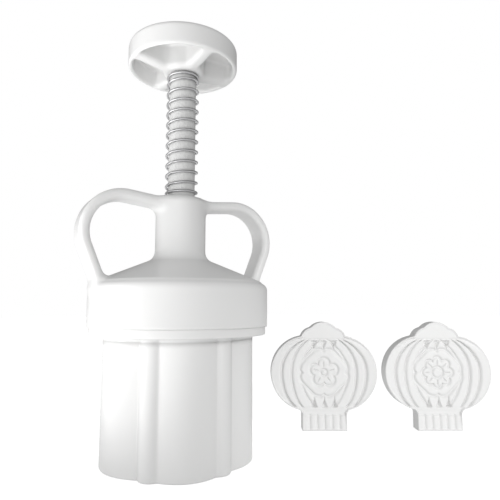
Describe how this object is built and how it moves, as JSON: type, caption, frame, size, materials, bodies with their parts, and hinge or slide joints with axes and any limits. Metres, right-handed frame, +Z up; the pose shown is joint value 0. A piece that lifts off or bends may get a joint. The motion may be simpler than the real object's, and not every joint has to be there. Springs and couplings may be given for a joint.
{
  "type": "mooncake press",
  "caption": "Hand press for filled pastries: lantern-shaped barrel, twist-on handle with finger loops, sprung plunger with a palm knob, and loose ribbed lantern stamps.",
  "frame": {"origin": "middle of the barrel's mouth, in the plane that the mouth stands on and on the plunger's axis", "axes": "+Z up along the plunger towards the knob, +X along the line through the finger loops, -Y is the front, which the lantern's crown faces to within 15 degrees"},
  "size_m": [0.216, 0.0844, 0.1902],
  "materials": {
    "white_plastic": "semi-gloss moulded white",
    "steel": "bright drawn wire and plated fasteners"
  },
  "bodies": {
    "barrel": {"barrel": "white_plastic"},
    "housing": {"handle_housing": "white_plastic", "guide_bush": "white_plastic", "return_spring": "steel"},
    "plunger": {"plunger_rod": "white_plastic", "piston_plate": "white_plastic", "piston_washer": "steel", "piston_screw": "steel", "knob": "white_plastic", "knob_washer": "steel", "knob_screw": "steel", "knob_cap": "white_plastic"},
    "blossom_stamp": {"stamp_blossom": "white_plastic"},
    "rosette_stamp": {"stamp_rosette": "white_plastic"}
  },
  "joints": [
    {"name": "housing_twist", "type": "hinge", "parent": "barrel", "child": "housing", "pos_m": [0, 0, 0.0576], "axis": [0, 0, 1], "range_deg": [0, 30]},
    {"name": "plunger_slide", "type": "slide", "parent": "barrel", "child": "plunger", "axis": [0, 0, -1], "range_m": [0, 0.04], "stiffness_N_per_m": 480, "springref_m": -0.01, "deforming": ["return_spring"]},
    {"name": "blossom_lift", "type": "slide", "parent": "barrel", "child": "blossom_stamp", "axis": [0, 0, 1], "range_m": [0, 0.07]},
    {"name": "rosette_lift", "type": "slide", "parent": "barrel", "child": "rosette_stamp", "axis": [0, 0, 1], "range_m": [0, 0.07]}
  ]
}
